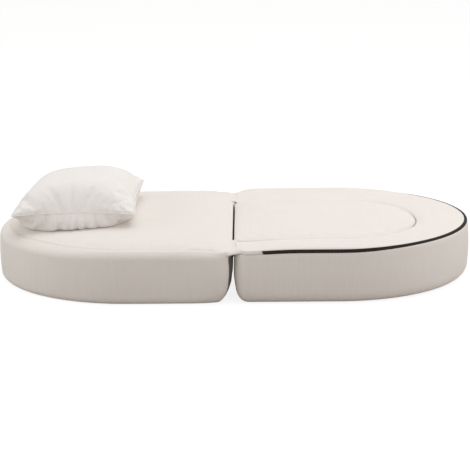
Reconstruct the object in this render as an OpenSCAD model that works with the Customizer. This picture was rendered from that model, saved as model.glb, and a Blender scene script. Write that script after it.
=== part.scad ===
// Folding sofa bed: two D-shaped foam blocks joined by fabric, with a loose pillow.
// X runs along the bed with the fold at zero, Y runs across it, and Z is up from the floor.

/* [Blocks] */
// Width of the bed
block_width = 900; // [700:10:1200]
// Length of one half, from its hinge end to its round end
half_length = 950; // [850:10:1200]
// Open gap between the two halves at the fold
hinge_gap = 8; // [4:1:20]
// Length of the rounded end, along the bed
round_length = 540; // [350:10:600]
// Radius of the upright corners at the hinge end
hinge_corner = 60; // [55:1:90]

/* [Sleeping half] */
// How far the sleeping half's top seam lies below the top of the zip
sleep_drop = 2; // [0:0.5:8]
// Rise of the sleeping half's top above that seam
sleep_crown = 18; // [5:1:20]
// Radius of the sleeping half's bottom edge
sleep_bottom_radius = 28; // [12:1:40]
// How far the sleeping half's band is drawn in at its top seam
sleep_draw = 4; // [1:0.5:8]

/* [Seat half] */
// Height of the seat half's side band
seat_band_height = 208; // [150:1:240]
// Rise of the rim's crown above the zip
rim_rise = 20; // [8:1:30]
// Length of the inner pad
pad_length = 735; // [600:5:780]
// Width of the inner pad
pad_width = 550; // [400:10:640]
// Height of the inner pad's seam above the foam under it
pad_edge = 6; // [3:0.5:10]
// Rise of the inner pad's top above its seam
pad_crown = 12; // [4:1:20]
// Depth of the comfort foam on the seat's core
comfort_depth = 50; // [30:1:80]
// Radius of the seat half's bottom edge
seat_bottom_radius = 46; // [20:1:50]
// How far the seat half's band is drawn in at its top seam
seat_draw = 6; // [5:0.5:8]

/* [Cover] */
// Thickness of the padded cover fabric
cover_thickness = 4; // [2:0.5:8]
// Thickness of the fabric that bridges the fold
flap_thickness = 4; // [2:0.5:6]
// Width of each fabric bridge, across the bed
flap_width = 140; // [80:5:160]

/* [Zip] */
// Height of the whole zip, tapes and teeth
zip_height = 14; // [12:0.5:14]
// Height of the chain of teeth
teeth_height = 6; // [4:0.5:7]
// Distance from the fold to each end of the zip
zip_start = 115; // [80:1:200]
// Thickness of a zip tape
tape_thickness = 1.5; // [1:0.1:2]
// How far the teeth stand out of the tapes
teeth_proud = 1; // [0.6:0.1:1.5]
// Length of the zip slider
slider_length = 14; // [10:1:20]
// Thickness of the slider's plate
slider_plate = 1.4; // [1:0.1:2]
// Length of the pull tab
tab_length = 26; // [15:1:35]

/* [Pillow] */
// Side of the square pillow
pillow_side = 490; // [350:10:600]
// Height of the pillow above its seam
pillow_rise = 112; // [40:2:120]
// Depth of the pillow below its seam, where it rests
pillow_depth = 60; // [30:5:80]
// Thickness of the pillow's fabric
pillow_fabric = 2; // [1:0.5:3]
// How far the pillow lies in from the bed's round end
pillow_inset = 80; // [20:2:200]
// How far the pillow lies off the bed's middle line, towards the back
pillow_offset = 46; // [-60:2:60]

/* [Hidden] */

// Colours of the fabric, the zip and the foam
linen = "#e8e1da";
linen_side = "#d8cfc5";
base_cloth = "#8c867f";
foam = "#f2e8c4";
zip_black = "#1d1b1a";
fibre = "#fbfaf7";

// Clearance between neighbouring pieces, and the overrun of cuts
fit_gap = 0.3;
overrun = 1;

// Steps round the outline of a half
corner_steps = 4;
end_steps = 24;
edge_steps = 3;

// Plan of a half
half_width = block_width / 2;
face_x = hinge_gap / 2;
end_x = face_x + half_length - round_length;
centre = [face_x + half_length / 2, 0];
hollow_face = 2;

// Heights of the seat half's layers
seat_core_top = seat_band_height - comfort_depth - fit_gap;
comfort_top = seat_core_top + comfort_depth;
zip_low = seat_band_height + fit_gap;
zip_high = seat_band_height + zip_height;
zip_middle = (zip_low + zip_high) / 2;
sleep_edge_height = zip_high - sleep_drop;
rim_low = comfort_top + fit_gap;

// Plan of the inner pad and of the rim round it
pad_half = pad_width / 2;
pad_end_x = face_x + pad_length - pad_half;
pad_corner = 14;
pad_centre = [face_x + pad_length / 2, 0];
pad_slit = 1;

// Shares of the way in over a crown, and of its full rise at each
crown_scale_share = [0.985, 0.95, 0.86, 0.7, 0.5, 0.25];
crown_power = 2.6;

// Shares of the way across the rim, and of its full rise at each
rim_across_share = [0, 0.07, 0.2, 0.36, 0.54, 0.72, 0.87, 0.96];
rim_rise_share = [0, 0.42, 0.82, 0.99, 1, 0.8, 0.4, 0];

// Outline of a half, drawn in by an inset, and at its hinge end by a face inset
function half_outline(inset, face_inset) =
    let (radius = hinge_corner - inset, x = face_x + face_inset + radius, y = half_width - hinge_corner)
    concat(
        [for (i = [0:corner_steps]) let (a = 180 + 90 * i / corner_steps)
            [x + radius * cos(a), -y + radius * sin(a)]],
        [for (i = [0:end_steps]) let (a = -90 + 180 * i / end_steps)
            [end_x + (round_length - inset) * cos(a), (half_width - inset) * sin(a)]],
        [for (i = [0:corner_steps]) let (a = 90 + 90 * i / corner_steps)
            [x + radius * cos(a), y + radius * sin(a)]]
    );

// Outline of the inner pad, drawn in by an inset
function pad_outline(inset) =
    let (radius = pad_corner - inset / 2, x = face_x + inset + radius, y = pad_half - inset - radius)
    concat(
        [for (i = [0:corner_steps]) let (a = 180 + 90 * i / corner_steps)
            [x + radius * cos(a), -y + radius * sin(a)]],
        [for (i = [0:end_steps]) let (a = -90 + 180 * i / end_steps)
            [pad_end_x + (pad_half - inset) * cos(a), (pad_half - inset) * sin(a)]],
        [for (i = [0:corner_steps]) let (a = 90 + 90 * i / corner_steps)
            [x + radius * cos(a), y + radius * sin(a)]]
    );

// An outline lifted to a height
function lifted(outline, z) = [for (p = outline) [p.x, p.y, z]];

// An outline scaled about a centre and lifted to a height
function shrunk(outline, middle, share, z) =
    [for (p = outline) [middle.x + (p.x - middle.x) * share, middle.y + (p.y - middle.y) * share, z]];

// Two triangles between neighbouring points of two rings
function ring_pair(a, b, j, n) =
    [[a + j, b + j, b + (j + 1) % n], [a + j, b + (j + 1) % n, a + (j + 1) % n]];

// Faces that join ring to ring
function wall_faces(rings, n, closed) =
    [for (i = [0:rings - (closed ? 1 : 2)], j = [0:n - 1])
        each ring_pair(i * n, ((i + 1) % rings) * n, j, n)];

// A solid through stacked rings, closed at both ends by a fan
module stack(rings, bottom, top) {
    n = len(rings[0]);
    count = len(rings);
    low = count * n;
    points = concat([for (r = rings) each r], [bottom, top]);
    floor_fan = [for (j = [0:n - 1]) [low, j, (j + 1) % n]];
    roof_fan = [for (j = [0:n - 1]) [low + 1, (count - 1) * n + (j + 1) % n, (count - 1) * n + j]];
    polyhedron(points, concat(wall_faces(count, n, false), floor_fan, roof_fan));
}

// A hoop through rings that come back to the first
module hoop(rings) {
    points = [for (r = rings) each r];
    polyhedron(points, wall_faces(len(rings), len(rings[0]), true));
}

// Section of a side band as inset, height and face inset, up the outside and down the inside
function band_section(radius, height, draw) =
    let (inner = radius - cover_thickness, low_draw = draw / 2)
    concat(
        [for (i = [0:edge_steps]) let (a = 90 * i / edge_steps)
            [low_draw + radius * (1 - sin(a)), radius * (1 - cos(a)), hollow_face + radius * (1 - sin(a))]],
        [[0, height / 2, hollow_face], [draw / 3, height * 0.85, hollow_face / 2], [draw, height, 0]],
        [[draw + cover_thickness, height, cover_thickness],
            [cover_thickness + draw / 3, height / 2, hollow_face + cover_thickness]],
        [for (i = [edge_steps:-1:0]) let (a = 90 * i / edge_steps)
            [low_draw + cover_thickness + inner * (1 - sin(a)),
                cover_thickness + inner * (1 - cos(a)),
                hollow_face + cover_thickness + inner * (1 - sin(a))]]
    );

module side_band(radius, height, draw) {
    hoop([for (s = band_section(radius, height, draw)) lifted(half_outline(s[0], s[2]), s[1])]);
}

// Foam block with a rounded bottom edge that fits inside its side band
module foam_core(radius, draw, top) {
    skin = cover_thickness + fit_gap;
    inner = radius - skin;
    side = draw + skin;
    face = hollow_face + skin;
    arc = [for (i = [0:edge_steps]) let (a = 90 * i / edge_steps)
        lifted(half_outline(side + inner * (1 - sin(a)), face + inner * (1 - sin(a))),
            skin + inner * (1 - cos(a)))];
    upper = lifted(half_outline(side, face), top);
    stack(concat(arc, [upper]), [centre.x, centre.y, skin], [centre.x, centre.y, top]);
}

// Flat panel under a half, inside the turn of its side band
module base_panel(radius, draw) {
    inset = radius + draw / 2 + fit_gap;
    linear_extrude(height = cover_thickness)
        polygon(half_outline(inset, hollow_face + radius + fit_gap));
}

// Height of a crown at a share of the way out
function crown_height(edge, rise, share) = edge + rise * (1 - pow(share, crown_power));

// Padded panel with a flat underside and a crowned top
module padded_panel(outer, inner, middle, low, edge, rise) {
    crown = [for (k = crown_scale_share) shrunk(outer, middle, k, crown_height(edge, rise, k))];
    rings = concat([lifted(inner, low), lifted(outer, edge)], crown);
    stack(rings, [middle.x, middle.y, low], [middle.x, middle.y, edge + rise]);
}

// Sleeping half

module sleep_core() {
    color(foam) mirror([1, 0, 0])
        foam_core(sleep_bottom_radius, sleep_draw, sleep_edge_height - cover_thickness - fit_gap);
}

module sleep_top_panel() {
    low = sleep_edge_height + fit_gap;
    outer = half_outline(sleep_draw, 0);
    inner = half_outline(sleep_draw + cover_thickness / 2, cover_thickness / 2);
    edge = low + cover_thickness / 2;
    color(linen) mirror([1, 0, 0])
        padded_panel(outer, inner, centre, low, edge, sleep_crown - cover_thickness / 2);
}

module sleep_side_band() {
    color(linen_side) mirror([1, 0, 0])
        side_band(sleep_bottom_radius, sleep_edge_height, sleep_draw);
}

module sleep_base_panel() {
    color(base_cloth) mirror([1, 0, 0]) base_panel(sleep_bottom_radius, sleep_draw);
}

// Seat half

module seat_core() {
    color(foam) foam_core(seat_bottom_radius, seat_draw, seat_core_top);
}

module seat_side_band() {
    color(linen_side) side_band(seat_bottom_radius, seat_band_height, seat_draw);
}

module seat_base_panel() {
    color(base_cloth) base_panel(seat_bottom_radius, seat_draw);
}

// Stations round the U of the rim, each an outer and an inner point
function rim_stations(inset, face_inset, slit) =
    let (outer = half_outline(inset, face_inset), arms = corner_steps + 1, total = len(outer))
    [for (i = [0:total - 1])
        let (j = i < arms ? i : total - 1 - i, a = -90 + 180 * (i - arms) / end_steps)
        let (arm = i < arms || i > arms + end_steps)
        let (x = face_x + face_inset + (hinge_corner - face_inset) * j / corner_steps)
        let (side = i < arms ? -1 : 1)
        let (inner = arm ? [x, side * (pad_half + slit)]
            : [pad_end_x + (pad_half + slit) * cos(a), (pad_half + slit) * sin(a)])
        [outer[i], inner]];

// Section of the rim as a share of the way across, and a height
function rim_section(low) =
    concat(
        [for (i = [0:len(rim_across_share) - 1])
            [rim_across_share[i], zip_high + fit_gap + (rim_rise - fit_gap) * rim_rise_share[i]]],
        [[1, zip_high - pad_edge], [1, low]]
    );

// A point between the two of a station
function across(station, share, z) =
    let (p = station[0] + (station[1] - station[0]) * share)
    [p.x, p.y, z];

// Solid swept round the U, closed by a fan at each arm's end
module u_sweep(sections) {
    n = len(sections[0]);
    count = len(sections);
    points = [for (s = sections) each s];
    first = [for (k = [0:n - 3]) [n - 1, k, k + 1]];
    end = (count - 1) * n;
    last = [for (k = [0:n - 3]) [end + n - 1, end + k + 1, end + k]];
    polyhedron(points, concat(wall_faces(count, n, false), first, last));
}

module seat_rim_cover() {
    set_back = cover_thickness + fit_gap;
    lip = rim_stations(seat_draw, set_back, pad_slit);
    wall = rim_stations(zip_inset + tape_thickness + fit_gap, set_back, pad_slit);
    section = rim_section(rim_low);
    loops = [for (i = [0:len(lip) - 1])
        concat(
            [for (s = section) across(lip[i], s[0], s[1])],
            [across(wall[i], 0, rim_low), across(wall[i], 0, zip_high + fit_gap)]
        )];
    color(linen) u_sweep(loops);
}

module seat_rim_foam() {
    stations = rim_stations(seat_draw + cover_thickness + fit_gap, hollow_face + cover_thickness + fit_gap,
        pad_slit);
    outer = [for (s = stations) s[0]];
    inner = [for (i = [len(stations) - 1:-1:0]) stations[i][1]];
    color(foam) translate([0, 0, seat_core_top + fit_gap])
        linear_extrude(height = comfort_depth - fit_gap) polygon(concat(outer, inner));
}

module seat_pad_foam() {
    inset = hollow_face + cover_thickness + fit_gap;
    color(foam) translate([0, 0, seat_core_top + fit_gap])
        linear_extrude(height = comfort_depth - fit_gap) polygon(pad_outline(inset));
}

module seat_pad_cover() {
    inner = pad_outline(cover_thickness + fit_gap);
    color(linen)
        padded_panel(pad_outline(0), inner, pad_centre, rim_low, rim_low + pad_edge, pad_crown);
}

// Zip and the seam band that carries on from it round the hinge end

zip_inset = seat_draw + teeth_proud + tape_thickness / 3;
teeth_low = zip_middle - teeth_height / 2;
teeth_high = zip_middle + teeth_height / 2;
stop_length = 3;
post_radius = 0.9;
post_clearance = 0.3;
tab_thickness = 1.2;
tab_height = 6;
ear_height = 2;

// Run of the zip round the round end, drawn in by an inset
function zip_run(inset) =
    concat(
        [[zip_start, -(half_width - inset)]],
        [for (i = [0:end_steps]) let (a = -90 + 180 * i / end_steps)
            [end_x + (round_length - inset) * cos(a), (half_width - inset) * sin(a)]],
        [[zip_start, half_width - inset]]
    );

function reversed(list) = [for (i = [len(list) - 1:-1:0]) list[i]];

module zip_strip(outer, inner, low, high) {
    translate([0, 0, low]) linear_extrude(height = high - low)
        polygon(concat(zip_run(outer), reversed(zip_run(inner))));
}

module zip_tape_lower() {
    color(zip_black) zip_strip(zip_inset, zip_inset + tape_thickness, zip_low, teeth_low);
}

module zip_tape_upper() {
    color(zip_black) zip_strip(zip_inset, zip_inset + tape_thickness, teeth_high, zip_high);
}

module zip_teeth() {
    color(zip_black)
        zip_strip(zip_inset - teeth_proud, zip_inset + tape_thickness, teeth_low, teeth_high);
}

// Metal stop at the end of the teeth, at the front for -1 and at the back for 1
module zip_stop(side) {
    depth = tape_thickness + teeth_proud;
    y = half_width - zip_inset - tape_thickness;
    mirror([0, side < 0 ? 1 : 0, 0])
        translate([zip_start - stop_length, y, teeth_low])
            cube([stop_length, depth, teeth_height]);
}

module zip_stop_front() {
    color(zip_black) zip_stop(-1);
}

module zip_stop_back() {
    color(zip_black) zip_stop(1);
}

// Outline from the zip's front end round the upright corner to the inner pad
function corner_run(inset, face_inset) =
    let (outline = half_outline(inset, face_inset))
    concat(
        [[zip_start - stop_length - fit_gap, -(half_width - inset)]],
        [for (i = [corner_steps:-1:0]) outline[i]],
        [[face_x + face_inset, -(pad_half + pad_slit)]]
    );

// Sewn strips that close the cover between each end of the zip and the inner pad
module seat_seam_band() {
    outer = corner_run(seat_draw, 0);
    inner = corner_run(zip_inset + tape_thickness, cover_thickness);
    color(linen) for (side = [0, 1])
        mirror([0, side, 0]) translate([0, 0, zip_low])
            linear_extrude(height = zip_height - fit_gap) polygon(concat(outer, reversed(inner)));
}

// Zip slider on the straight run of the zip behind the bed, near its start
slider_x = zip_start + slider_length;
slider_face = half_width - zip_inset + teeth_proud + fit_gap;
slider_lip = 1.2;
slider_height = teeth_height + 2 * (fit_gap + slider_lip);
ear_x = slider_x - slider_length / 2 + ear_height;
tab_hole = post_radius + post_clearance;
tab_barrel = tab_hole + tab_thickness / 2;
post_y = slider_face + slider_plate + tab_barrel + fit_gap;
ear_depth = post_y + post_radius - slider_face - slider_plate;

module zip_slider() {
    low = zip_middle - slider_height / 2;
    lip_depth = teeth_proud;
    ear_low = tab_height / 2 + fit_gap;
    color(zip_black) {
        translate([slider_x - slider_length / 2, slider_face, low])
            cube([slider_length, slider_plate, slider_height]);
        for (z = [low, low + slider_height - slider_lip])
            translate([slider_x - slider_length / 2, slider_face - lip_depth, z])
                cube([slider_length, lip_depth, slider_lip]);
        for (z = [zip_middle - ear_low - slider_lip, zip_middle + ear_low])
            translate([ear_x - ear_height / 2, slider_face + slider_plate, z])
                cube([ear_height, ear_depth, slider_lip]);
        translate([ear_x, post_y, zip_middle - ear_low - slider_lip])
            cylinder(h = 2 * (ear_low + slider_lip), r = post_radius, $fn = 32);
    }
}

module zip_pull_tab() {
    color(zip_black) translate([ear_x, post_y, zip_middle - tab_height / 2]) difference() {
        union() {
            cylinder(h = tab_height, r = tab_barrel, $fn = 32);
            translate([0, -tab_thickness / 2, 0]) cube([tab_length, tab_thickness, tab_height]);
        }
        translate([0, 0, -overrun])
            cylinder(h = tab_height + 2 * overrun, r = tab_hole, $fn = 32);
    }
}

// Fabric bridges across the fold, sewn to the seat half and reaching the sleeping half

module hinge_flap(side) {
    reach = hinge_gap - fit_gap;
    outer = half_width - hinge_corner / 3;
    mirror([0, side < 0 ? 1 : 0, 0])
        translate([face_x - reach, outer - flap_width, zip_low + fit_gap])
            cube([reach, flap_width, flap_thickness]);
}

module hinge_flap_front() {
    color(linen) hinge_flap(-1);
}

module hinge_flap_back() {
    color(linen) hinge_flap(1);
}

// Pillow: two panels sewn at a knife edge, round a fibre filling

pillow_steps = 14;
pillow_pinch_share = 0.06;
pillow_power = 0.34;
pillow_edge = 1.2;
pillow_turn = 1;
pillow_x = pillow_inset + pillow_side / 2 - face_x - half_length;
pillow_seam_z = sleep_edge_height + sleep_crown + 2 * fit_gap + pillow_depth + pillow_edge;

// Place of the pillow's seam plane at shares u and v of its half side, corners drawn out
function pillow_spot(u, v) =
    let (half = pillow_side / 2)
    [half * u * (1 - pillow_pinch_share * (1 - v * v)),
        half * v * (1 - pillow_pinch_share * (1 - u * u))];

// Share of the full puff at a place on the pillow
function pillow_puff(u, v) = pow(max(0, (1 - u * u) * (1 - v * v)), pillow_power);

// Surface above the seam, drawn in by a skin, and the flattened one below it
function pillow_upper(u, v, skin) = max(0, pillow_rise * pillow_puff(u, v) - skin);
function pillow_lower(u, v, skin) = min(pillow_depth - skin, pillow_upper(u, v, skin));

// Solid between an upper and a lower square grid of points
module grid_solid(upper, lower) {
    m = len(upper);
    side_points = round(sqrt(m));
    s = side_points - 1;
    function grid_index(i, j) = i * side_points + j;
    top = [for (i = [0:s - 1], j = [0:s - 1])
        each [[grid_index(i, j), grid_index(i, j + 1), grid_index(i + 1, j + 1)],
            [grid_index(i, j), grid_index(i + 1, j + 1), grid_index(i + 1, j)]]];
    under = [for (f = top) [m + f[2], m + f[1], m + f[0]]];
    rim = concat(
        [for (i = [0:s - 1]) grid_index(i, 0)],
        [for (j = [0:s - 1]) grid_index(s, j)],
        [for (i = [s:-1:1]) grid_index(i, s)],
        [for (j = [s:-1:1]) grid_index(0, j)]
    );
    count = len(rim);
    side = [for (k = [0:count - 1])
        each [[rim[k], rim[(k + 1) % count], m + rim[(k + 1) % count]],
            [rim[k], m + rim[(k + 1) % count], m + rim[k]]]];
    polyhedron(concat(upper, lower), concat(top, under, side));
}

// Spacing of the pillow's grid, closer towards the seam
function pillow_share(i) = sin(-90 + 180 * i / pillow_steps);

module on_bed() {
    translate([pillow_x, pillow_offset, pillow_seam_z]) rotate([0, 0, pillow_turn]) children();
}

// Grid points above the seam for a sign of 1 and below it for -1, without the outermost ones
function pillow_grid(left_out, lift, sign, skin) =
    [for (i = [left_out:pillow_steps - left_out], j = [left_out:pillow_steps - left_out])
        let (u = pillow_share(i), v = pillow_share(j), p = pillow_spot(u, v))
        let (h = sign > 0 ? pillow_upper(u, v, skin) : pillow_lower(u, v, skin))
        [p.x, p.y, sign * (h + lift)]];

module pillow_top_panel() {
    color(linen) on_bed()
        grid_solid(pillow_grid(0, pillow_edge, 1, 0), pillow_grid(0, 0, 1, pillow_fabric));
}

module pillow_bottom_panel() {
    color(linen_side) on_bed()
        grid_solid(pillow_grid(0, fit_gap / 2, -1, pillow_fabric),
            pillow_grid(0, pillow_edge, -1, 0));
}

module pillow_filling() {
    skin = pillow_fabric + fit_gap;
    color(fibre) on_bed() grid_solid(pillow_grid(1, 0, 1, skin), pillow_grid(1, 0, -1, skin));
}

sleep_core();
sleep_top_panel();
sleep_side_band();
sleep_base_panel();
seat_core();
seat_rim_foam();
seat_pad_foam();
seat_side_band();
seat_base_panel();
seat_rim_cover();
seat_pad_cover();
seat_seam_band();
zip_tape_lower();
zip_tape_upper();
zip_teeth();
zip_stop_front();
zip_stop_back();
hinge_flap_front();
hinge_flap_back();
zip_slider();
zip_pull_tab();
pillow_top_panel();
pillow_bottom_panel();
pillow_filling();
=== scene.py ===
import bmesh
import bpy
import math
import numpy as np
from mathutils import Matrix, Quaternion, Vector
from mathutils.bvhtree import BVHTree


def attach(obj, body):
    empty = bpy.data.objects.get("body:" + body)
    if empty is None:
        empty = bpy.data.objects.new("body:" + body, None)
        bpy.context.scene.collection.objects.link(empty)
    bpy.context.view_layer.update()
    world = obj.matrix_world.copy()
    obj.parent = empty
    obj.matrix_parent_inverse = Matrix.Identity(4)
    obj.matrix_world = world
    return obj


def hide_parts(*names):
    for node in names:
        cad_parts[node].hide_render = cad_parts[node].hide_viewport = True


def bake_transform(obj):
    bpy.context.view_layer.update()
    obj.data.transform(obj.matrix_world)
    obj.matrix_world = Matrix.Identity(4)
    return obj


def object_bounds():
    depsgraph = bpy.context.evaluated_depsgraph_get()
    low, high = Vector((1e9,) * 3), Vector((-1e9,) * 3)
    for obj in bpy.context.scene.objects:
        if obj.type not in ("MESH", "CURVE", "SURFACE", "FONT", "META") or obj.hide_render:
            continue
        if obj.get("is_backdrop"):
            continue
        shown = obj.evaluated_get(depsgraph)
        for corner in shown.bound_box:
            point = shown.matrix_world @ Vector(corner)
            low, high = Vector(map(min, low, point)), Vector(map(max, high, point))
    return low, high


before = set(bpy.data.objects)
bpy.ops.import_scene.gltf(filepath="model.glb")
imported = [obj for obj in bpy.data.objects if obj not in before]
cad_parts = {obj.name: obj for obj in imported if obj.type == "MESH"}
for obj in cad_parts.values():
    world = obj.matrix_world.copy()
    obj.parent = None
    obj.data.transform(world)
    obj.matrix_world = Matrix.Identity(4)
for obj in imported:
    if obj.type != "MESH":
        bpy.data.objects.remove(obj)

# All sizes are in metres. X runs along the bed with the fold at zero, Y runs towards the back, Z is up.

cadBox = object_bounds()
scene = bpy.context.scene


def plainNumbers(value):
    return [plainNumbers(v) for v in value] if hasattr(value, "__len__") else float(value)


cameraSetup = {  # the photograph's viewpoint, angles in radians
    "target": (0.0035, 0.0, 0.100),
    "distance": 8.0,
    "elevation": 0.3006,
    "turn": -0.0092,
    "roll": -0.0100,
    "lens": 149.9,  # in mm, as the sensor's width is
    "sensorWidth": 36,
    "shiftUp": 0.0243,
    "farthest": 60,
}


def makeCamera(c):
    data = bpy.data.cameras.new("photoCamera")
    camera = bpy.data.objects.new("photoCamera", data)
    scene.collection.objects.link(camera)
    flat = c["distance"] * math.cos(c["elevation"])
    away = Vector((-flat * math.sin(c["turn"]), -flat * math.cos(c["turn"]),
                   c["distance"] * math.sin(c["elevation"])))
    camera.location = Vector(c["target"]) + away
    facing = (-away).to_track_quat("-Z", "Y") @ Quaternion((0, 0, 1), c["roll"])
    camera.rotation_euler = facing.to_euler()
    data.sensor_width = c["sensorWidth"]
    data.lens = c["lens"]
    data.shift_y = c["shiftUp"]
    data.clip_end = c["farthest"]
    scene.camera = camera


makeCamera(cameraSetup)
print("camera placed")


class Wire:  # one socket that can stand in a formula
    def __init__(self, finish, socket):
        self.finish = finish
        self.socket = socket

    def maths(self, operation, *others):
        values = {i: v for i, v in enumerate((self,) + others)}
        return self.finish.node("ShaderNodeMath", {"operation": operation}, values)

    def __add__(self, other): return self.maths("ADD", other)
    def __radd__(self, other): return self.maths("ADD", other)
    def __sub__(self, other): return self.maths("SUBTRACT", other)

    def __rsub__(self, other):
        return self.finish.node("ShaderNodeMath", {"operation": "SUBTRACT"}, {0: other, 1: self})

    def __mul__(self, other): return self.maths("MULTIPLY", other)
    def __rmul__(self, other): return self.maths("MULTIPLY", other)
    def sine(self): return self.maths("SINE")


class Finish:  # one material, or the world, built node by node
    def __init__(self, name, world=False):
        self.made = (bpy.data.worlds if world else bpy.data.materials).new(name)
        self.made.use_nodes = True
        self.tree = self.made.node_tree
        self.tree.nodes.clear()
        self.output = "ShaderNodeOutputWorld" if world else "ShaderNodeOutputMaterial"

    def node(self, kind, settings=None, values=None, out=0):
        made = self.tree.nodes.new(kind)
        for key, value in (settings or {}).items():
            setattr(made, key, value)
        for key, value in (values or {}).items():
            live = [s for s in made.inputs if s.enabled]
            socket = live[key] if isinstance(key, int) else next(s for s in live if s.name == key)
            if isinstance(value, Wire):
                self.tree.links.new(value.socket, socket)
            elif socket.type == "RGBA":
                socket.default_value = tuple(value) + (1,)
            else:
                socket.default_value = value
        live = [s for s in made.outputs if s.enabled]
        if live:  # an output node has nothing to pass on
            return Wire(self, next(s for s in live if s.name == out) if isinstance(out, str) else live[out])

    def mix(self, amount, a, b):  # colours only
        return self.node("ShaderNodeMix", {"data_type": "RGBA"}, {"Factor": amount, "A": a, "B": b})

    def place(self):  # where a point of the surface is, in metres
        return self.node("ShaderNodeTexCoord", None, None, "Object")

    def parts(self, vector):
        split = self.node("ShaderNodeSeparateXYZ", None, {0: vector})
        return [Wire(self, out) for out in split.socket.node.outputs]

    def normalParts(self):  # which way the surface faces
        return self.parts(self.node("ShaderNodeTexCoord", None, None, "Normal"))

    def seen(self):  # 1 for what the camera, a reflection or clear stuff shows
        path = self.node("ShaderNodeLightPath").socket.node
        camera, glossy, through = (Wire(self, path.outputs["Is %s Ray" % ray])
                                   for ray in ("Camera", "Glossy", "Transmission"))
        return camera.maths("MAXIMUM", glossy).maths("MAXIMUM", through)

    def noise(self, place, scale, detail, stretch=(1, 1, 1)):
        spread = self.node("ShaderNodeVectorMath", {"operation": "MULTIPLY"}, {0: place, 1: stretch})
        return self.node("ShaderNodeTexNoise", None, {"Vector": spread, "Scale": scale, "Detail": detail})

    def bump(self, height, strength, distance):
        values = {"Strength": strength, "Distance": distance, "Height": height}
        return self.node("ShaderNodeBump", None, values)

    def finish(self, **values):
        values = {key.replace("_", " "): value for key, value in values.items()}
        return self.close(self.node("ShaderNodeBsdfPrincipled", None, values))

    def close(self, shader):
        self.node(self.output, None, {"Surface": shader})
        return self.made


def linear(*screen):  # a colour as read off a screen, as the shader wants it
    return tuple((c / 255 / 12.92) if c <= 10 else ((c / 255 + 0.055) / 1.055) ** 2.4 for c in screen)


def tinted(colour, *by):  # a colour times one number, or times one for each part
    return tuple(c * k for c, k in zip(colour, by * (3 // len(by))))


def weaveHeight(f, place, pitch):  # over and under of a plain weave, on any side of the piece
    nx, ny, nz = f.normalParts()
    x, y, z = f.parts(place)
    k = 2 * math.pi / pitch
    sx, sy, sz = (x * k).sine(), (y * k).sine(), (z * k).sine()
    return sx * sy * (nz * nz) + sx * sz * (ny * ny) + sy * sz * (nx * nx)


linen = {  # what the cream cloths have in common
    "streak": (0.895, 0.875, 0.855),  # how much darker the thick yarns are, by colour part
    "cloud": (0.985, 0.965, 0.945),  # and the mottled patches
    "threads": (0.90, 1.05),  # darkest and lightest single threads
    "hollowShade": 0.55,  # painted shade between the threads
    "hollowShare": 0.08,
    "roughness": 0.9,
    "bump": 0.45,
    "relief": 0.0006,
    "sheen": 0.12,
}


def linenFinish(name, colour, pitch, streaks, mottle):
    f = Finish(name)
    place = f.place()
    nz = f.normalParts()[2]
    flatness = nz * nz  # 1 on tops and undersides, 0 on upright sides
    weave = weaveHeight(f, place, pitch)
    threadsX = f.noise(place, 1, 2, (90, 1400, 1400))
    threadsY = f.noise(place, 1, 2, (1400, 90, 900))
    threadsZ = f.noise(place, 1, 2, (900, 900, 80))
    slubs = threadsX * 0.4 + threadsY * 0.35 + threadsZ * 0.25
    along = f.noise(place, 1, 3, (7, 190, 190))  # thick yarns that run along the top
    cross = f.noise(place, 1, 3, (170, 9, 170))
    fall = f.noise(place, 1, 3, (180, 180, 8))  # and down the sides
    yarn = (along * 0.62 + cross * 0.38) * flatness + (fall * 0.65 + 0.17) * (1 - flatness)
    cloud = f.noise(place, 5.0, 4.0)
    fuzz = f.noise(place, 700, 2.0)
    dark, light = (tinted(colour, k) for k in linen["threads"])
    threads = f.mix(slubs, dark, tuple(min(1, c) for c in light))
    streaked = f.mix((yarn - 0.40) * (1.5 * streaks), threads, tinted(colour, *linen["streak"]))
    base = f.mix((cloud - 0.38) * mottle, streaked, tinted(colour, *linen["cloud"]))
    # the hollows of the weave are darkened in colour: painted shade
    crossing = f.mix((weave * 0.5 + 0.5) * linen["hollowShare"], base, tinted(colour, linen["hollowShade"]))
    height = weave * 0.5 + slubs * 1.2 + fuzz * 0.3 + yarn * 1.6
    relief = f.bump(height, linen["bump"], linen["relief"])
    return f.finish(Base_Color=crossing, Roughness=linen["roughness"] - slubs * 0.12, Normal=relief,
                    Sheen_Weight=linen["sheen"], Sheen_Roughness=0.6, Specular_IOR_Level=0.25)


creamCloths = {  # name, colour, pitch of the weave, streaks and mottling
    "linen": ("creamLinen", linear(243, 237, 232), 0.0016, 1.0, 0.35),
    "pillowLinen": ("paleLinen", linear(246, 242, 239), 0.0013, 0.7, 0.25),
    "thread": ("creamThread", linear(232, 224, 215), 0.0006, 0.2, 0.2),
}
finishes = {}


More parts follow.
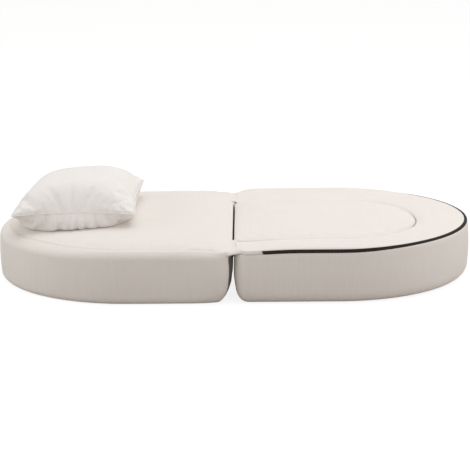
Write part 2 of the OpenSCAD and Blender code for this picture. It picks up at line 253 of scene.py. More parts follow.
def makeFinishes():
    for key, look in creamCloths.items():
        finishes[key] = linenFinish(*look)

    f = Finish("gripCloth")  # woven underside with printed grip dots
    place = f.place()
    weave = weaveHeight(f, place, 0.0022)
    cells = f.node("ShaderNodeTexVoronoi", {"feature": "F1"},
                   {"Vector": place, "Scale": 110.0, "Randomness": 0.0}, "Distance")
    dots = cells.maths("LESS_THAN", 0.24)
    cloud = f.noise(place, 9, 4)
    cloth = f.mix(cloud, linear(104, 98, 92), linear(132, 125, 118))
    crossing = f.mix((weave * 0.5 + 0.5) * 0.4, cloth, linear(70, 66, 62))
    colour = f.mix(dots, crossing, linear(58, 55, 53))
    finishes["baseCloth"] = f.finish(Base_Color=colour, Roughness=0.92 - dots * 0.35, Specular_IOR_Level=0.3,
                                     Normal=f.bump(weave * 0.4 + dots * 1.6, 0.5, 0.0008))

    f = Finish("zipTape")  # close black herringbone
    place = f.place()
    x, y, z = f.parts(place)
    rib = ((x + y) * 2600 + (z * 1800).sine() * 1.5).sine()
    fade = f.noise(place, 160, 3)
    tape = f.mix(rib * 0.35 + fade * 0.5, linear(40, 32, 26), linear(72, 60, 51))
    finishes["zipTape"] = f.finish(Base_Color=tape, Roughness=0.88 - fade * 0.2,
                                   Normal=f.bump(rib, 0.5, 0.0003), Specular_IOR_Level=0.15)

    f = Finish("zipTeeth")  # moulded black nylon, paler where it is rubbed
    place = f.place()
    rub = f.noise(place, 300, 4)
    teeth = f.mix((rub - 0.4) * 0.9, linear(26, 19, 15), linear(58, 48, 40))
    finishes["zipTeeth"] = f.finish(Base_Color=teeth, Roughness=0.46 + rub * 0.25,
                                    Normal=f.bump(rub, 0.2, 0.0002), Specular_IOR_Level=0.25)

    f = Finish("zipMetal")  # dark plated metal with worn spots
    place = f.place()
    wear = f.noise(place, 420, 5)
    scratch = f.noise(place, 1, 2, (4000, 300, 300))
    metal = f.mix((wear - 0.45) * 1.4, linear(52, 50, 50), linear(128, 124, 120))
    finishes["zipMetal"] = f.finish(Base_Color=metal, Metallic=0.85, Roughness=0.28 + scratch * 0.22,
                                    Normal=f.bump(scratch, 0.15, 0.0001))


makeFinishes()
print("finishes made:", len(finishes))


def cyclicFaces(count, rings):  # the faces between closed rings of points
    j = np.arange(count)
    faces = []
    for i in range(rings - 1):
        a = i * count + j
        b = i * count + (j + 1) % count
        faces.append(np.stack([a, b, b + count, a + count], 1))
    return np.concatenate(faces).tolist()


def addPiece(name, points, faces, finish, slots=None):
    mesh = bpy.data.meshes.new(name)
    mesh.from_pydata([tuple(map(float, p)) for p in points], [], faces)
    mesh.update()
    for key in ([finish] if isinstance(finish, str) else finish):
        mesh.materials.append(finishes[key])
    if slots is not None:
        mesh.polygons.foreach_set("material_index", slots)
    mesh.polygons.foreach_set("use_smooth", [True] * len(mesh.polygons))
    obj = bpy.data.objects.new(name, mesh)
    scene.collection.objects.link(obj)
    return obj


def tidyNormals(obj):
    b = bmesh.new()
    b.from_mesh(obj.data)
    bmesh.ops.remove_doubles(b, verts=b.verts, dist=1e-6)
    bmesh.ops.recalc_face_normals(b, faces=b.faces)
    b.to_mesh(obj.data)
    b.free()


def barFaces(first, around, rings):  # the faces of one small bar, flat at both ends
    faces = []
    for r in range(rings - 1):
        for k in range(around):
            a, b = first + r * around + k, first + r * around + (k + 1) % around
            faces.append([a, b, b + around, a + around])
    ends = [[first + r * around + k for k in range(around)] for r in (0, rings - 1)]
    return faces + [ends[0][::-1], ends[1]]


def sheetFaces(nu, nv):  # both sides and the edge of a sheet, its upper points first
    g = np.arange(nu * nv).reshape(nu, nv)
    faces = []
    for i in range(nu - 1):
        for j in range(nv - 1):
            quad = [g[i, j], g[i + 1, j], g[i + 1, j + 1], g[i, j + 1]]
            faces += [quad, [k + nu * nv for k in quad[::-1]]]
    edge = list(g[:, 0]) + list(g[-1, 1:]) + list(g[::-1, -1][1:]) + list(g[0, ::-1][1:-1])
    for a, b in zip(edge, edge[1:] + edge[:1]):
        faces.append([a, b, b + nu * nv, a + nu * nv])
    return [[int(k) for k in f] for f in faces]


def stackRings(rings, bottom, top):  # closed form through rings, with a fan at each end
    count, n = len(rings), len(rings[0])
    points = np.concatenate([np.concatenate(rings), [bottom, top]])
    faces = cyclicFaces(n, count)
    low, high = count * n, count * n + 1
    last = (count - 1) * n
    faces += [[low, (j + 1) % n, j] for j in range(n)]
    faces += [[high, last + j, last + (j + 1) % n] for j in range(n)]
    return points, faces


def fillTop(points, faces, first, count, height):
    # a square grid of faces inside the ring of points that starts at first, instead of its fan
    faces = [f for f in faces if len(points) - 1 not in f]
    points = points[:-1]
    m = count // 4
    ring = np.roll(np.arange(first, first + count), m // 2)
    sides = [np.append(ring, ring[0])[k * m:(k + 1) * m + 1] for k in range(4)]
    low, right, high, left = sides[0], sides[1], sides[2][::-1], sides[3][::-1]
    at = points[:, :2]
    u = np.linspace(0, 1, m + 1)[:, None, None]
    v = np.linspace(0, 1, m + 1)[None, :, None]
    flat = ((1 - v) * at[low][:, None] + v * at[high][:, None]
            + (1 - u) * at[left][None] + u * at[right][None]
            - (1 - u) * (1 - v) * at[low[0]] - u * (1 - v) * at[low[-1]]
            - (1 - u) * v * at[high[0]] - u * v * at[high[-1]])
    for _ in range(60):  # evens the cells out
        flat[1:-1, 1:-1] = (flat[2:, 1:-1] + flat[:-2, 1:-1] + flat[1:-1, 2:] + flat[1:-1, :-2]) / 4
    inside = flat[1:-1, 1:-1].reshape(-1, 2)
    grid = np.zeros((m + 1, m + 1), int)
    grid[:, 0], grid[:, -1], grid[0], grid[-1] = low, high, left, right
    grid[1:-1, 1:-1] = len(points) + np.arange((m - 1) ** 2).reshape(m - 1, m - 1)
    points = np.concatenate([points, lift(inside, height(inside))])
    for a in range(m):
        for b in range(m):
            faces.append([int(k) for k in (grid[a, b], grid[a + 1, b], grid[a + 1, b + 1], grid[a, b + 1])])
    return points, faces


def waves(points, size, seed, count=9):  # gentle unevenness, about -1 to 1
    rng = np.random.default_rng(seed)
    points = np.asarray(points, float)
    total = np.zeros(len(points))
    for _ in range(count):
        way = rng.normal(size=points.shape[1])
        way /= np.linalg.norm(way)
        length = size * (0.6 + 0.9 * rng.random())
        total += np.sin(2 * math.pi * (points @ way) / length + rng.random() * 6.3)
    return total / math.sqrt(count)


def unit(rows):  # each row as a vector one long
    return rows / np.linalg.norm(rows, axis=1)[:, None]


def evenly(line, count, closed=True):  # the same line with its points evenly spaced
    line = np.asarray(line, float)
    if closed:
        line = np.concatenate([line, line[:1]])
    step = np.r_[0, np.cumsum(np.linalg.norm(np.diff(line, axis=0), axis=1))]
    want = np.linspace(0, step[-1], count, endpoint=not closed)
    return np.stack([np.interp(want, step, line[:, i]) for i in range(line.shape[1])], 1)


def inflate(obj, free, pressure, frames, cap, stiffness, bending, spare):
    # blows a closed piece up as cloth; only the free points move, and none by more than the cap
    mesh = obj.data
    start = np.empty(len(mesh.vertices) * 3)
    mesh.vertices.foreach_get("co", start)
    start = start.reshape(-1, 3)
    held = obj.vertex_groups.new(name="held")
    for k in np.nonzero(~free)[0]:
        held.add([int(k)], 1.0, "REPLACE")
    cloth = obj.modifiers.new("cloth", "CLOTH")
    c = cloth.settings
    c.quality = 5
    c.mass = 0.25
    c.tension_stiffness = c.compression_stiffness = c.shear_stiffness = stiffness
    c.bending_stiffness = bending
    c.air_damping = 2.0
    c.use_pressure = True
    c.uniform_pressure_force = pressure
    c.effector_weights.gravity = 0
    c.shrink_min = -spare
    if not free.all():
        c.vertex_group_mass = "held"
    cloth.collision_settings.use_collision = False
    cloth.point_cache.frame_start = 1
    cloth.point_cache.frame_end = frames
    for step in range(1, frames + 1):
        scene.frame_set(step)
    ready = obj.evaluated_get(bpy.context.evaluated_depsgraph_get()).data
    moved = np.empty(len(ready.vertices) * 3)
    ready.vertices.foreach_get("co", moved)
    moved = moved.reshape(-1, 3)
    obj.modifiers.remove(cloth)
    obj.vertex_groups.remove(held)
    scene.frame_set(1)
    push = moved - start
    far = np.maximum(np.linalg.norm(push, axis=1), 1e-9)
    push *= (cap * np.tanh(far / cap) / far)[:, None]
    mesh.vertices.foreach_set("co", (start + push).ravel())
    mesh.update()
    return start + push


stitch = {
    "pitch": 0.0052,
    "length": 0.0036,
    "radius": 0.00045,
    "sides": 5,
    "rings": (  # way along the stitch, thickness and height
        (-0.5, 0.45, -0.5), (-0.3, 1.0, 0.35), (0.3, 1.0, 0.35), (0.5, 0.45, -0.5)),
}


def sewAlong(name, line, cloth, body, closed=True):
    # a row of stitches laid on a piece of cloth, as near to the line as the cloth comes
    w = stitch
    mesh = cloth.data
    tree = BVHTree.FromPolygons([v.co for v in mesh.vertices], [f.vertices for f in mesh.polygons])
    line = np.asarray(line, float)
    loop = np.concatenate([line, line[:1]]) if closed else line
    count = int(np.linalg.norm(np.diff(loop, axis=0), axis=1).sum() / w["pitch"])
    spots, ups = [], []
    for at in evenly(line, count, closed):
        spot, up, _, _ = tree.find_nearest(Vector(at))
        spots.append(spot)
        ups.append(up)
    spots, ups = np.array(spots), np.array(ups)
    along = np.roll(spots, -1, 0) - np.roll(spots, 1, 0)
    if not closed:
        along[0], along[-1] = along[1], along[-2]
    along = unit(along)
    across = np.cross(ups, along)
    points, faces = [], []
    turns = np.radians([k * 360 / w["sides"] for k in range(w["sides"])])
    for spot, way, side, up in zip(spots, along, across, ups):
        faces += barFaces(len(points), w["sides"], len(w["rings"]))
        for reach, size, height in w["rings"]:
            for a in turns:
                off = side * (size * math.cos(a)) + up * (height + size * math.sin(a))
                points.append(spot + way * (reach * w["length"]) + w["radius"] * off)
    obj = addPiece(name, points, faces, "thread")
    tidyNormals(obj)
    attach(obj, body)


plan = {  # what both halves have in common
    "width": 0.900,
    "length": 0.950,
    "face": 0.004,  # from the fold to each half's upright face
    "faceStep": 0.0028,  # how far the cover stands out towards the fold, but for the corners
    "roundLength": 0.540,
    "corner": 0.060,
    "bandIn": 0.003,  # the band's foot stands this far inside the outline
    "sideWaves": 0.0009,
    "floorShares": (0.03, 0.3, 0.6, 0.85, 0.97),  # rings of the underside, from the middle out
    "turnShares": (0.0, 0.2, 0.32, 0.45, 0.62, 0.8),  # rings round the lower corner
    "points": 360,  # round a half
    "dense": 6000,  # round it where places on it are looked up
}
halfWidth = plan["width"] / 2
endX = plan["face"] + plan["length"] - plan["roundLength"]
middleX = plan["face"] + plan["length"] / 2


def halfOutline(inset=0.0, count=plan["points"]):
    p = plan
    radius = p["corner"] - inset
    cx, cy = p["face"] + radius, halfWidth - p["corner"]
    a = np.radians(np.linspace(180, 270, 16))
    front = np.stack([cx + radius * np.cos(a), -cy + radius * np.sin(a)], 1)
    a = np.radians(np.linspace(-90, 90, 181))
    end = np.stack([endX + (p["roundLength"] - inset) * np.cos(a), (halfWidth - inset) * np.sin(a)], 1)
    back = front[::-1] * (1, -1)
    return evenly(np.concatenate([[[p["face"], 0.0]], front, end, back]), count)


def smooth(t):
    t = np.clip(t, 0, 1)
    return t * t * (3 - 2 * t)


def waysOut(ring):  # unit vectors out of a closed line, across it
    along = np.roll(ring, -1, 0) - np.roll(ring, 1, 0)
    return unit(np.stack([along[:, 1], -along[:, 0]], 1))


def nearFace(x, reach):  # 1 at the faces by the fold, 0 past the reach
    return np.clip(1 - (x - plan["face"]) / reach, 0, 1)


def inwards(points, middle):  # unit vectors towards the middle
    return unit(middle - points)


def lift(flat, z):
    return np.column_stack([flat, np.full(len(flat), z) if np.isscalar(z) else z])


def shareOut(points, outline, middle):  # 0 in the middle, 1 at the outline
    around = outline - middle
    angle = np.arctan2(around[:, 1], around[:, 0])
    order = np.argsort(angle)
    reach = np.linalg.norm(around, axis=1)[order]
    angle = angle[order]
    angle = np.r_[angle[-1] - 2 * math.pi, angle, angle[0] + 2 * math.pi]
    reach = np.r_[reach[-1], reach, reach[0]]
    off = points - middle
    return np.linalg.norm(off, axis=1) / np.interp(np.arctan2(off[:, 1], off[:, 0]), angle, reach)


halfEdge = halfOutline(0.004)
halfMiddle = np.array([middleX, 0.0])


sag = {
    "depth": 0.008,  # how far the tops drop at the fold
    "seatFront": 0.26,
    "seatBack": 0.10,
    "sleeping": 0.17,
    "from": 0.08,  # heights between which it sets in
    "over": 0.12,
}


def settle(points, half):  # points in plan view with x away from the fold
    x, y, z = points[:, 0], points[:, 1], points[:, 2]
    if half == "seat":
        mean, swing = (sag["seatFront"] + sag["seatBack"]) / 2, (sag["seatFront"] - sag["seatBack"]) / 2
        length = mean - swing * np.clip(y / 0.3, -1, 1)
    else:
        length = sag["sleeping"]
    high = np.clip((z - sag["from"]) / sag["over"], 0, 1)
    points = points.copy()
    points[:, 2] = z - sag["depth"] * (1 - smooth(x / length)) * high
    return points


sleeping = {
    "seamHeight": 0.2165,
    "seamIn": 0.026,
    "seamInHinge": 0.0034,
    "seamInEnd": 0.048,
    "endDrop": 0.005,  # how much lower the top seam lies at the round end
    "quickRise": 0.006,
    "crown": 0.016,
    "crownPower": 2.6,
    "bottomRadius": 0.028,
    "hingeBottomRadius": 0.062,
    "hingeBottomTall": 1.9,  # the lower corner at the fold is taller than it is deep
    "bulge": 0.003,
    "shoulderDown": 0.040,
    "turnShare": 0.72,
    "seamDip": 0.0010,
    "crownRings": (0.0026, 0.006, 0.012, 0.020, 0.028),  # ways in from the seam
    "stitchIn": 0.007,
    "shadeClothReach": 0.0105,  # how far round the corner the dark cloth goes, and how high: painted shade for the slit at the fold
    "shadeClothHeight": 0.198,
    "waveHeight": 0.0012,
    "cloth": {"pressure": 3.0, "frames": 20, "cap": 0.0035,
              "stiffness": 15.0, "bending": 1.5, "spare": 0.008},
}


def atRoundEnd(x):  # 1 at the sleeping half's round end, 0 from its middle on
    return smooth((x - 0.45) / 0.35)


def sleepTop(flat):  # height of the sleeping half's top, mirrored to the seat side
    s = sleeping
    share = np.clip(shareOut(flat, halfEdge, halfMiddle), 0, 1)
    quick = 1 - np.exp(-np.clip(0.955 - share, 0, 1) / 0.06)
    atEnd = atRoundEnd(flat[:, 0])
    drop = s["endDrop"] * atEnd * share ** 3
    rise = s["quickRise"] * quick * (1 - 0.6 * atEnd)
    return s["seamHeight"] - drop + rise + s["crown"] * (1 - share ** s["crownPower"])


def bandRings(s, seamIn, seamZ):
    # rings of a side band from the floor to its top seam
    ring = halfOutline()
    out = waysOut(ring)
    nearHinge = nearFace(ring[:, 0], 0.16) ** 2
    atFace = nearFace(ring[:, 0], 0.05)
    bandIn = plan["bandIn"]
    radius = s["bottomRadius"] + (s["hingeBottomRadius"] - s["bottomRadius"]) * nearHinge
    tall = radius * (1 + (s["hingeBottomTall"] - 1) * nearHinge)
    shoulderFoot = seamZ - s["shoulderDown"]
    rings = []

    def put(inward, z):
        z = z * np.ones(len(ring))
        flat = ring - out * (inward * np.ones(len(ring)))[:, None]
        hug = np.clip((z - 0.05) / 0.05, 0, 1) * np.clip((0.43 - np.abs(flat[:, 1])) / 0.03, 0, 1) * atFace
        flat[:, 0] = np.maximum(flat[:, 0], plan["face"]) - plan["faceStep"] * hug
        rings.append(lift(flat, z))

    for share in plan["turnShares"]:
        a = share * math.pi / 2
        put(bandIn + radius * (1 - math.sin(a)), tall * (1 - math.cos(a)))
    for share in np.linspace(0, 1, 12):
        put(bandIn - s["bulge"] * math.sin(math.pi * share), tall + (shoulderFoot - tall) * share)
    full = s["turnShare"] * math.pi / 2
    for a in np.linspace(0, full, 10)[1:]:
        rise = math.sin(a) / math.sin(full)
        inward = bandIn + (seamIn - bandIn) * (1 - math.cos(a)) / (1 - math.cos(full))
        put(inward, seamZ - s["shoulderDown"] * (1 - rise))
    return rings


def floorRings(rings):  # the flat underside, inside the band's first ring
    bottom = rings[0][:, :2]
    return [lift(halfMiddle + (bottom - halfMiddle) * k, 0.0) for k in plan["floorShares"]]


def waveSides(points, low, high, size, seed):  # lets the band's cloth go gently in and out
    side = (points[:, 2] > low) & (points[:, 2] < high)
    push = waves(points * (1, 1, 0.5), size, seed) * plan["sideWaves"]
    points[:, 1] += push * side * np.sign(points[:, 1])


def clothSlots(outline, rings, low, width, height):
    # base cloth underneath, and up the face at the fold as painted shade for the slit; linen elsewhere
    n = len(outline)
    slots = []
    for i in range(len(rings) - 1):
        # the dark cloth on the face at the fold is painted shade for the slit
        paintedShadeFace = (outline[:, 0] < plan["face"] + width) & (rings[i + 1][:, 2] < height)
        slots += [1] * n if i < low + 2 else [int(t) for t in paintedShadeFace]
    return slots + [1] * n


def makeSleepingHalf():
    s = sleeping
    outline = halfOutline()
    atHinge = smooth(nearFace(outline[:, 0], 0.09))
    atEnd = atRoundEnd(outline[:, 0])
    seamIn = s["seamIn"] + (s["seamInHinge"] - s["seamIn"]) * atHinge + (s["seamInEnd"] - s["seamIn"]) * atEnd
    seamZ = s["seamHeight"] - s["endDrop"] * atEnd
    rings = bandRings(s, seamIn, seamZ)
    low = floorRings(rings)
    seam = rings[-1][:, :2]
    inward = inwards(seam, halfMiddle)
    groove = [lift(seam + inward * 0.0012, seamZ - s["seamDip"])]
    crown = []
    for way in s["crownRings"]:
        flat = seam + inward * way
        crown.append(lift(flat, sleepTop(flat) - 0.002 * math.exp(-way / 0.004)))
    allRings = low + rings + groove + crown
    points, faces = stackRings(allRings, (middleX, 0, 0), (middleX, 0, s["seamHeight"] + s["crown"]))
    n = plan["points"]
    points, faces = fillTop(points, faces, (len(allRings) - 1) * n, n, sleepTop)
    slots = clothSlots(outline, allRings, len(low), s["shadeClothReach"], s["shadeClothHeight"])
    slots += [0] * (len(faces) - len(slots))
    top = points[:, 2] > s["seamHeight"] - 0.0005
    deep = np.clip((points[:, 2] - s["seamHeight"]) / 0.006, 0, 1)
    points[:, 2] += waves(points[:, :2], 0.34, 4) * s["waveHeight"] * deep * top
    waveSides(points, 0.03, s["seamHeight"] - 0.01, 0.22, 7)
    points = settle(points, "sleeping")
    points[:, 0] *= -1
    obj = addPiece("sleepingMattress", points, faces, ["linen", "baseCloth"], slots)
    tidyNormals(obj)
    count = (len(low) + len(rings) + 1) * n
    free = (np.arange(len(points)) >= count) & (points[:, 2] > 0.1)
    inflate(obj, free, **s["cloth"])
    row = settle(lift(seam + inward * s["stitchIn"], seamZ + 0.002), "sleeping") * (-1, 1, 1)
    sewAlong("sleepingTopStitch", row[outline[:, 0] > plan["face"] + 0.004], obj, "sleeping_half", False)
    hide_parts("sleep_core", "sleep_top_panel", "sleep_side_band", "sleep_base_panel")
    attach(obj, "sleeping_half")


makeSleepingHalf()
print("sleeping half made")


seat = {
    "bandHeight": 0.208,
    "bottomRadius": 0.044,
    "hingeBottomRadius": 0.040,
    "hingeBottomTall": 1.7,
    "bulge": 0.003,
    # the dark cloth on the face at the fold is painted shade for the slit
    "shadeClothReach": 0.0010,
    "shadeClothHeight": 0.185,
    "shoulderDown": 0.030,
    "turnShare": 0.5,
    "zipTop": 0.222,
    "rimRise": 0.0115,
    "rimRiseBack": 0.0050,
    "padLength": 0.735,
    "padWidth": 0.550,
    "padCorner": 0.016,
    "padFoot": 0.2005,
    "padSeam": 0.2080,
    "padQuickRise": 0.0110,
    "padRise": 0.0075,
    "padFaceRise": 0.0045,  # the pad's edge at the fold stands this much higher
    "padRings": (0.0012, 0.004, 0.009, 0.016, 0.024),
    "padStitchIn": 0.0065,
    "padCloth": {"pressure": 3.0, "frames": 20, "cap": 0.0035,
                 "stiffness": 12.0, "bending": 0.6, "spare": 0.012},
    "slit": (0.0014, 0.0020),  # how far the pad and the rim keep off the line between them
    "rimSeam": 0.2082,
    "rimShares": (0, 0.012, 0.026, 0.04, 0.08, 0.14, 0.22, 0.32, 0.44,
                  0.56, 0.68, 0.78, 0.86, 0.92, 0.96, 0.985, 1),
    "rimProud": 0.0012,  # how far it bulges over the zip
    "rimFoldX": 0.0014,  # where it starts beside the fold
    "zipRoom": (0.0030, 0.0022),  # how far it steps back behind the zip, at its foot and halfway up
    "crestWaves": 0.0009,
    "padWaves": 0.0010,
    "zipStart": 0.115,
}
padHalf = seat["padWidth"] / 2
padEndX = plan["face"] + seat["padLength"] - padHalf
padMiddle = np.array([plan["face"] + seat["padLength"] / 2, 0.0])


zipper = {
    "centreIn": 0.0075,
    "centreZ": 0.21515,
    "width": 0.0137,
    "frontLean": math.radians(18),
    "endLean": math.radians(58),  # the zip lies back on the shoulder at the round end
    "backLean": math.radians(78),
    "endIn": 0.0065,
    "endRise": 0.0045,
    "tape": 0.0015,
    "tapeSpacing": 0.006,
    "gap": 0.0021,  # from the middle to each tape
    "proud": 0.0010,
    "rowHeight": 0.0060,
    "pitch": 0.0032,
    "toothWidth": 0.0021,
    "toothHeight": 0.0040,
    "toothShape": ((-1, 0), (1, 0), (0.95, 0.55), (0.5, 1), (-0.5, 1), (-0.95, 0.55)),
}


def zipCourse(x, y):
    # how far in and how high the zip's middle is, and how far it leans back
    z = zipper
    t = smooth((x - 0.44) / 0.36)
    front = smooth((0.05 - y) / 0.1)
    atEnd = z["endLean"] + (z["backLean"] - z["endLean"]) * smooth((y + 0.15) / 0.25)
    lean = z["frontLean"] * front + (atEnd - z["frontLean"] * front) * t
    return z["centreIn"] + z["endIn"] * t, z["centreZ"] + z["endRise"] * t, lean


def zipEdge(x, y, side):  # way in and height of the zip's lower (-1) or upper (1) edge
    inward, height, lean = zipCourse(x, y)
    half = side * zipper["width"] / 2
    return inward + half * np.sin(lean), height + half * np.cos(lean)


def makeSeatBlock():
    s = seat
    outline = halfOutline()
    seamIn, seamZ = zipEdge(outline[:, 0], outline[:, 1], -1)
    rings = bandRings(s, np.maximum(0.0062, seamIn - 0.0006), seamZ)
    low = floorRings(rings)
    seam = rings[-1][:, :2]
    deck = s["padFoot"] - 0.001  # the hidden top that the pad lies on
    cap = [lift(halfMiddle + (seam - halfMiddle) * k, z)
           for k, z in ((0.985, s["bandHeight"] - 0.001), (0.95, deck), (0.6, deck), (0.1, deck))]
    allRings = low + rings + cap
    points, faces = stackRings(allRings, (middleX, 0, 0), (middleX, 0, deck))
    slots = clothSlots(outline, allRings, len(low), s["shadeClothReach"], s["shadeClothHeight"]) + [0] * plan["points"]
    waveSides(points, 0.05, s["bandHeight"] - 0.012, 0.2, 17)
    points = settle(points, "seat")
    obj = addPiece("seatBlock", points, faces, ["linen", "baseCloth"], slots)
    tidyNormals(obj)
    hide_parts("seat_core", "seat_side_band", "seat_base_panel")
    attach(obj, "seat_half")


def padOutline(grow=0.0, count=240):
    r = seat["padCorner"] + grow / 2
    x0 = plan["face"] - grow
    half = padHalf + grow
    a = np.radians(np.linspace(180, 270, 8))
    front = np.stack([x0 + r + r * np.cos(a), -(half - r) + r * np.sin(a)], 1)
    a = np.radians(np.linspace(-90, 90, 97))
    end = np.stack([padEndX + half * np.cos(a), half * np.sin(a)], 1)
    back = front[::-1] * (1, -1)
    return evenly(np.concatenate([[[x0, 0.0]], front, end, back]), count)


padEdge = padOutline()


def padTop(flat):
    s = seat
    share = np.clip(shareOut(flat, padEdge, padMiddle), 0, 1)
    quick = 1 - np.exp(-(1 - share) / 0.032)
    atFace = np.exp(-np.clip(flat[:, 0] - plan["face"], 0, 1) / 0.02)
    rise = s["padQuickRise"] * quick
    return s["padSeam"] + rise + s["padRise"] * (1 - share ** 3) + s["padFaceRise"] * atFace


def makeSeatPad():
    s = seat
    ring = padOutline(-s["slit"][0])
    inward = inwards(ring, padMiddle)
    rings = [lift(ring + inward * 0.006, s["padFoot"]), lift(ring + inward * 0.002, s["padFoot"] + 0.001)]
    rings.append(lift(ring, padTop(ring) - 0.0012))
    for way in s["padRings"]:
        flat = ring + inward * way
        rings.append(lift(flat, padTop(flat)))
    crest = s["padSeam"] + s["padQuickRise"] + s["padRise"]
    points, faces = stackRings(rings, (*padMiddle, s["padFoot"]), (*padMiddle, crest))
    points, faces = fillTop(points, faces, (len(rings) - 1) * len(ring), len(ring), padTop)
    high = np.clip((points[:, 2] - s["padSeam"]) / 0.004, 0, 1)
    points[:, 2] += waves(points[:, :2], 0.26, 23) * s["padWaves"] * high
    points[:, 0] -= plan["faceStep"] * nearFace(points[:, 0], 0.02) * (points[:, 2] > s["bandHeight"] + 0.001)
    points = settle(points, "seat")
    obj = addPiece("seatPad", points, faces, "linen")
    tidyNormals(obj)
    free = (np.arange(len(points)) >= 4 * len(ring)) & (points[:, 2] > s["bandHeight"] + 0.002)
    inflate(obj, free, **s["padCloth"])
    row = ring + inward * s["padStitchIn"]
    sewAlong("padStitch", settle(lift(row, padTop(row)), "seat"), obj, "seat_half")
    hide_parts("seat_pad_cover", "seat_pad_foam")
    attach(obj, "seat_half")


def rimStations():
    # round the U of the rim: a point on the half's outline, its way out, and the point across at the pad
    dense = halfOutline(0.0, plan["dense"])
    out = waysOut(dense)
    corner = plan["corner"]
    xs = np.r_[np.linspace(seat["rimFoldX"], corner, 9)[:-1], np.linspace(corner, padEndX, 30)[:-1]]
    innerHalf = padHalf + seat["slit"][1]
    stations = []

    def nearest(target):
        k = np.argmin(np.linalg.norm(dense - target, axis=1))
        return dense[k], out[k]

    front = dense[dense[:, 1] < -0.3]
    low = front[front[:, 0] < padEndX + 0.02]
    for x in xs:
        y = np.interp(max(x, plan["face"] + 0.0045), low[:, 0], low[:, 1])
        edge, way = nearest((x, y))
        stations.append((edge, way, np.array([x, -innerHalf])))
    off = dense - (padEndX, 0)
    direction = np.arctan2(off[:, 1], off[:, 0])
    order = np.argsort(direction)
    for a in np.radians(np.linspace(-90, 90, 141)):
        toward = np.array([math.cos(a), math.sin(a)])
        reach = np.interp(a, direction[order], np.linalg.norm(off, axis=1)[order])
        edge, way = nearest(np.array([padEndX, 0]) + reach * toward)
        stations.append((edge, way, np.array([padEndX, 0]) + innerHalf * toward))
    for edge, way, inner in stations[:len(xs)][::-1]:
        stations.append((edge * (1, -1), way * (1, -1), inner * (1, -1)))
    return stations


def rimTop(share, x, y, outerZ):  # height across the rim, from 0 outside to 1 inside
    s = seat
    share = np.clip(share, 0, 1)
    front = smooth((0.15 - y) / 0.3)
    nearFold = front * (0.5 + 0.5 * smooth(x / 0.2)) + (1 - front) * smooth((x - 0.02) / 0.3)
    rise = (s["rimRiseBack"] + (s["rimRise"] - s["rimRiseBack"]) * front) * nearFold
    atEnd = smooth((x - 0.44) / 0.26)
    crown = np.sin(math.pi * share ** (0.85 + 0.9 * atEnd)) ** (0.55 + 0.25 * atEnd)
    level = outerZ + (s["rimSeam"] - outerZ) * share ** (3.5 + 4.0 * atEnd)
    return level + rise * crown


def makeSeatRim():
    s = seat
    across = np.array(s["rimShares"])
    loops = []
    for edge, way, inner in rimStations():
        upIn, upZ = (float(v) for v in zipEdge(edge[0], edge[1], 1))
        lowIn, lowZ = (float(v) for v in zipEdge(edge[0], edge[1], -1))
        outer = edge - way * upIn
        outer[0] = max(outer[0], inner[0])
        toward = inner - outer
        proud = s["rimProud"] * np.sin(math.pi * np.clip(across / 0.06, 0, 1))
        flat = outer + across[:, None] * toward - toward / np.linalg.norm(toward) * proud[:, None]
        z = rimTop(across, inner[0], inner[1], upZ + 0.0004)
        loop = [np.r_[p, h] for p, h in zip(flat, z)]
        loop.append(np.r_[inner, s["rimSeam"] - 0.0020])
        loop.append(np.r_[inner, s["padFoot"]])
        zipped = smooth((edge[0] - s["zipStart"] + 0.009) / 0.012)  # 1 where it leaves room for the zip
        foot = edge - way * (lowIn + s["zipRoom"][0] * zipped)
        foot[0] = max(foot[0], inner[0])
        loop.append(np.r_[foot, lowZ + 0.0002])
        behind = (outer + foot) / 2 - way * (s["zipRoom"][1] * zipped)
        loop.append(np.r_[behind, (upZ + lowZ) / 2 - 0.0005])
        loops.append(np.array(loop))
    points, faces = stackRings(loops, loops[0].mean(0), loops[-1].mean(0))
    crest = np.clip((points[:, 2] - s["zipTop"] - 0.002) / 0.004, 0, 1)
    points[:, 2] += waves(points[:, :2], 0.2, 31) * s["crestWaves"] * crest
    points = settle(points, "seat")
    obj = addPiece("seatRim", points, faces, "linen")
    tidyNormals(obj)
    loops = np.array(loops)
    for name, k, start in (("rimOuterStitch", 3, s["zipStart"]), ("rimInnerStitch", 14, 0.02)):
        row = settle(loops[:, k], "seat")
        sewAlong(name, row[loops[:, k, 0] > start], obj, "seat_half", False)
    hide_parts("seat_rim_cover", "seat_rim_foam", "seat_seam_band")
    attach(obj, "seat_half")


makeSeatBlock()
makeSeatPad()
makeSeatRim()
print("seat half made")


def zipFrames(spacing):  # evenly along the zip: its middle, its ways along, out and up
    dense = halfOutline(0.0, plan["dense"])
    start = seat["zipStart"]
    first = int(np.argmax(dense[:, 0] >= start))
    last = len(dense) - int(np.argmax(dense[::-1, 0] >= start))
    part = dense[first:last]
    inward, height, lean = zipCourse(part[:, 0], part[:, 1])
    out = waysOut(dense)[first:last]
    middle = lift(part - out * inward[:, None], height)
    middle = settle(middle, "seat")
    rows = np.column_stack([middle, out, lean])
    length = np.linalg.norm(np.diff(middle, axis=0), axis=1).sum()
    step = np.r_[0, np.cumsum(np.linalg.norm(np.diff(middle, axis=0), axis=1))]
    want = np.linspace(0, length, int(length / spacing))
    rows = np.stack([np.interp(want, step, rows[:, i]) for i in range(6)], 1)
    middle, flatOut, lean = rows[:, :3], rows[:, 3:5], rows[:, 5]
    flatOut = lift(unit(flatOut), 0.0)
    up = np.array([0, 0, 1.0])
    out = flatOut * np.cos(lean)[:, None] + up * np.sin(lean)[:, None]
    rise = up * np.cos(lean)[:, None] - flatOut * np.sin(lean)[:, None]
    return middle, unit(np.gradient(middle, axis=0)), out, rise


